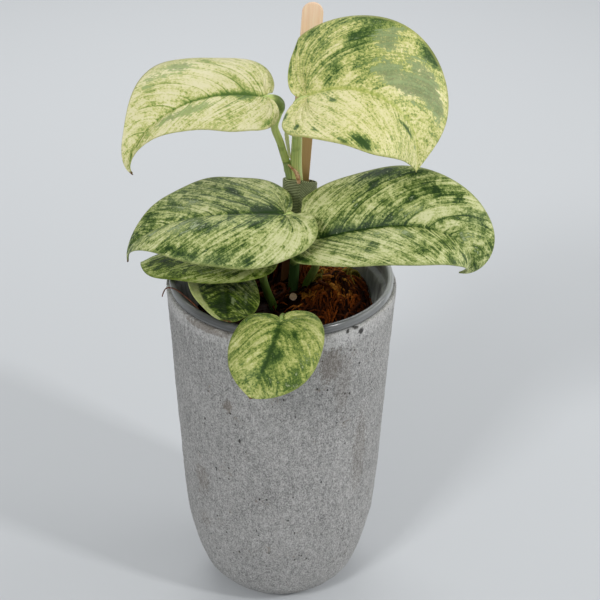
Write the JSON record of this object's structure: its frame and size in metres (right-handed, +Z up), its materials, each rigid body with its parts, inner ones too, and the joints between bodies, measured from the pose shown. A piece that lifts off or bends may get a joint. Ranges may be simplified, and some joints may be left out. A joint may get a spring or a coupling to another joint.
{
  "type": "potted pothos plant",
  "caption": "Variegated pothos tied to a flat wooden stake, rooted in moss in a clear nursery pot that hangs by its rim inside a tall tapered concrete pot.",
  "frame": {"origin": "centre of the concrete pot's flat base, on the surface it stands on", "axes": "+Z up along the pot's axis; -Y towards the front, where the small front leaf hangs over the rim; +X to the viewer's right"},
  "size_m": [0.1983, 0.1645, 0.3565],
  "materials": {
    "concrete": "matte",
    "smoky_plastic": "gloss",
    "moss": "matte",
    "pale_wood": "matte",
    "tie_tape": "matte",
    "stem_green": "satin",
    "variegated_leaf": "satin",
    "pale_sheath": "satin",
    "dry_husk": "matte",
    "root_brown": "matte"
  },
  "bodies": {
    "root": {"concrete_pot": "concrete", "nursery_pot": "smoky_plastic", "moss_fill": "moss", "wooden_stake": "pale_wood", "garden_tie": "tie_tape", "vine_stem": "stem_green", "leaf_upper_left": "variegated_leaf", "leaf_upper_right": "variegated_leaf", "leaf_middle_left": "variegated_leaf", "leaf_middle_right": "variegated_leaf", "leaf_lower_left": "variegated_leaf", "leaf_inner_left": "variegated_leaf", "leaf_front": "variegated_leaf", "leaf_sheath": "pale_sheath", "dry_husk": "dry_husk", "loose_root": "root_brown"}
  },
  "joints": []
}
